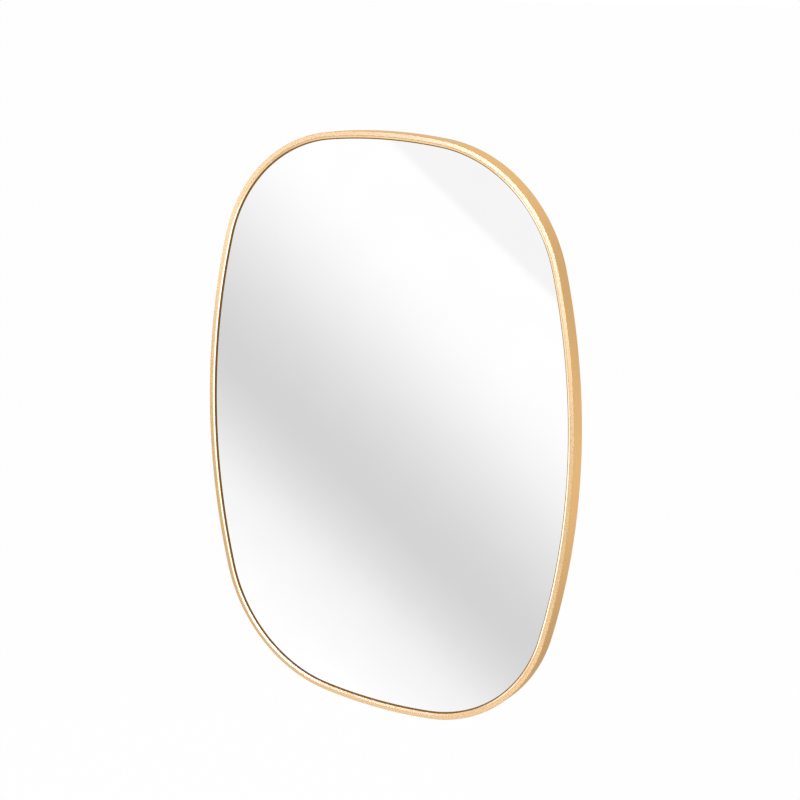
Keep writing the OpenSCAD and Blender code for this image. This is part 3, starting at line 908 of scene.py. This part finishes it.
floor_paint = bpy.data.materials.new("pale_floor")
floor_paint.use_nodes = True
graph = Graph(floor_paint.node_tree)
matt = graph.add("BsdfDiffuse", None, Color=FLOOR_GREY)
glow = graph.add("Emission", None, Color=PAPER_WHITE, Strength=1.0)
paint = graph.add("MixShader", None, seen_directly(graph) * FLOOR_GLOW, matt, glow)
graph.add("OutputMaterial", None, Surface=paint)
floor = stage_piece("floor", np.array([0, 0, FLOOR_Z]), *np.eye(3)[:2], FLOOR_D, floor_paint)
floor.visible_glossy = False
print("floor", FLOOR_D, "m wide at", FLOOR_Z)

# %% [markdown]
# ## The panels
#
# A large grey panel stands to the left of the camera, where the glass shows it, with a tone that
# runs softly from white to grey and back along a diagonal: it gives the glass its slanting sheen.
# The panels and the soft lights are seen by reflections alone. They cast no shadow and light
# nothing, so they can be as large as they need to be without standing in the way of another view.
# They could be part of the air instead, but a tone in the air has no distance, and in the glass it
# would lie differently from view to view.

# %% Turn a piece of the studio to what it faces
def directions(centre, facing, roll):
    """Across a panel and up it for one who faces it, turned by the roll, and where it faces."""
    toward = np.array(facing, float) - centre
    toward /= np.linalg.norm(toward)
    aside = np.cross(toward, [0, 0, 1])
    aside /= np.linalg.norm(aside)
    upward = np.cross(aside, toward)
    across = aside * np.cos(roll) + upward * np.sin(roll)
    upright = upward * np.cos(roll) - aside * np.sin(roll)
    return across, upright, toward


def reflected_piece(name, centre, x, y, size, surface, sampling):
    """A square seen by reflections alone. Its surface is a function of the place across and up
    and of the distance from its middle, in metres. Sampling says if the renderer aims at it."""
    paint = bpy.data.materials.new(name)
    paint.use_nodes = True
    paint.cycles.emission_sampling = sampling
    graph = Graph(paint.node_tree)
    place = graph.pick(graph.add("TexCoord"), "Object")
    offset = graph.add("VectorMath", {"operation": "SUBTRACT"}, place, tuple(centre.tolist()))
    across, upright = (graph.pick(graph.add("VectorMath", {"operation": "DOT_PRODUCT"}, offset,
                                            tuple(v.tolist())), "Value") for v in (x, y))
    distance = graph.pick(graph.add("VectorMath", {"operation": "LENGTH"}, offset), "Value")
    graph.add("OutputMaterial", None, Surface=surface(graph, across, upright, distance))
    thing = stage_piece(name, centre, x, y, size, paint)
    for kind in ("camera", "diffuse", "transmission", "volume_scatter", "shadow"):
        setattr(thing, "visible_" + kind, False)


PANEL_AT, PANEL_ROLL = 4, np.radians(47)
mirror_eye = np.array([CAMERA_AT[0], -CAMERA_AT[1], CAMERA_AT[2]])
mirror_middle = np.array([0, -0.022, -HOOK_H * MM])
sight = mirror_middle - mirror_eye
sight /= np.linalg.norm(sight)
front = mirror_middle + sight * PANEL_AT
print("the glass looks at", front.round(2))

# %% [markdown]
# The front panel stands where the mirror looks from this camera: on the line that leaves the
# mirrored camera and passes through the glass. What the glass shows of it is a grey tone, the sum
# of smooth steps across the diagonal. Two smaller panels of the same tone stand to the right and
# low in front, so that the glass has its sheen from the left and from above too. The back panel is
# what the outer wall of the frame shows, and its tone rises with height.

# %% Stand the panels
GREY, WHITE = 0.66, 1.0
DARK_LINE = -0.228
FADE_FROM = 0.42
# Where each smooth step starts and ends, and the light that it adds before and after.
SHEEN_STEPS = ((-0.02, 0.77, 0.0, WHITE - GREY), (-0.39, 0.0, 0.2, 0.0),
               (-0.68, -0.155, 0.14, 0.0), (1.005, 1.047, 0.0, -0.085))
BACKDROP_GREY = 0.76
BACKDROP_STEPS = ((0.5, 1.2, 0.0, 0.29), (-0.7, 0.1, 0.22, 0.0), (-1.7, -0.9, -0.42, 0.0))


def sheen(across, upright):
    """Light against the distance from the band's dark line: one smooth step up on the right, two
    on the left, and a corner that is a little darker than white."""
    return sum(((across - DARK_LINE).ramp(*step) for step in SHEEN_STEPS), GREY)


def backdrop(across, upright):
    """Light against height: even in the middle, brighter above, and a brighter patch below that
    fades towards the floor."""
    return sum((upright.ramp(*step) for step in BACKDROP_STEPS), BACKDROP_GREY)


def panel(name, centre, facing, size, roll, tone):
    """A large panel whose tone is a function of the place on it. Its edge fades to clear."""
    def surface(graph, across, upright, distance):
        cover = distance.ramp(size * FADE_FROM, size / 2, 1.0, 0.0)
        glow = graph.add("Emission", None, Color=tone(across, upright), Strength=1.0)
        return graph.add("MixShader", None, cover, graph.add("BsdfTransparent"), glow)
    x, y, _ = directions(centre, facing, roll)
    reflected_piece(name, centre, x, y, size, surface, "NONE")


FRONT_D, SIDE_D, BACK_D = 8, 5.2, 4.6
BACK_AT, BACK_FACES = np.array([0.4, 1.6, 0]), (0.4, 0, 0)
SIDE_WAYS = {"right_panel": (0.62, -0.74, -0.26), "low_panel": (0.0, -0.5, -0.87)}
panel("front_panel", front, mirror_middle, FRONT_D, PANEL_ROLL, sheen)
panel("back_panel", BACK_AT, BACK_FACES, BACK_D, 0, backdrop)
for name, way in SIDE_WAYS.items():
    stand = mirror_middle + np.array(way) / np.linalg.norm(way) * PANEL_AT
    panel(name, stand, mirror_middle, SIDE_D, PANEL_ROLL, sheen)
print("panels are", PANEL_AT, "m from the mirror")

# %% [markdown]
# The brushed face blurs a wider part of the front panel. Its colour in the photograph is a full
# gold with a nearly white light added, weak at the lower left and strong at the upper right. That
# light comes from round soft lights, which stand just before the panel, past the edge of what the
# glass shows. They are cool, as daylight is, because gold warms what it reflects. The strongest one
# is the coolest.
#
# They could be bright spots in the panel's own tone. As pieces of their own they can be moved one
# by one, and the renderer can aim at them, which leaves a little less grain in the highlight.

# %% Add the soft lights
DAYLIGHT, SKYLIGHT = colour(168, 190, 255), colour(144, 165, 255)
LIGHT_D, LIGHT_CORE, LIGHT_STEP = 1.0, 0.2, 0.01
# How far across from the dark line and how far up each is, in metres, its strength and its tint.
SOFT_LIGHTS = {
    "right": (1.72, 0.29, 36.0, SKYLIGHT), "lower_right": (1.45, -0.47, 10.0, DAYLIGHT),
    "low": (1.2, -1.1, 3.0, DAYLIGHT), "above": (0.3, 1.5, 10.5, DAYLIGHT),
    "upper_left": (-0.25, 1.25, 6.0, DAYLIGHT), "far_left": (-1.3, 0.85, 3.0, DAYLIGHT),
    "left": (-1.05, -0.6, 1.5, DAYLIGHT), "lower_left": (-1.0, -0.9, 5.0, DAYLIGHT),
    "below": (0.15, -1.5, 10.5, DAYLIGHT),
}


def soft_light(power, tint):
    """Adds a tinted light to what stands behind it: full near its middle, none at its edge."""
    def surface(graph, _across, _upright, distance):
        fade = distance.ramp(LIGHT_CORE, LIGHT_D / 2, 1.0, 0.0)
        light = graph.add("VectorMath", {"operation": "SCALE"}, tint[:3], Scale=fade)
        glow = graph.add("Emission", None, Color=light, Strength=power)
        return graph.add("AddShader", None, graph.add("BsdfTransparent"), glow)
    return surface


x, y, toward = directions(front, mirror_middle, PANEL_ROLL)
for step, (name, (across, upright, power, tint)) in enumerate(SOFT_LIGHTS.items(), 1):
    middle = front + x * (across + DARK_LINE) + y * upright + toward * LIGHT_STEP * step
    reflected_piece("light_" + name, middle, x, y, LIGHT_D, soft_light(power, tint), "FRONT_BACK")
print("soft lights", len(SOFT_LIGHTS))

# %% [markdown]
# ## The lamps
#
# Two large soft lamps, one before the wall and one behind it, light the matt pieces: the board, the
# foam, the rubber. Reflections don't show them, or there would be bright squares in the glass. The
# air alone could light these pieces, but then nothing on the back would have a lit side.

# %% Hang the lamps
LAMP_AIM = Vector((0, 0, -0.26))
# Where each lamp stands, how wide it is in metres, and its power in watts.
LAMPS = {"soft_light_front": ((-2.2, -2.6, 1.9), 1.6, 45),
         "soft_light_behind": ((-2.4, 2.4, 1.2), 1.6, 40)}
for name, (at, size, power) in LAMPS.items():
    light = bpy.data.lights.new(name, "AREA")
    light.shape, light.size, light.energy = "SQUARE", size, power
    thing = bpy.data.objects.new(name, light)
    scene.collection.objects.link(thing)
    thing.location = at
    thing.rotation_euler = (Vector(at) - LAMP_AIM).to_track_quat("Z", "Y").to_euler()
    thing.visible_glossy = False
print("lamps", len(LAMPS))

# %% [markdown]
# ## Last, the settings
#
# The plain view setting leaves each tone as it was written.

# %% Finish
scene.view_settings.view_transform = "Standard"
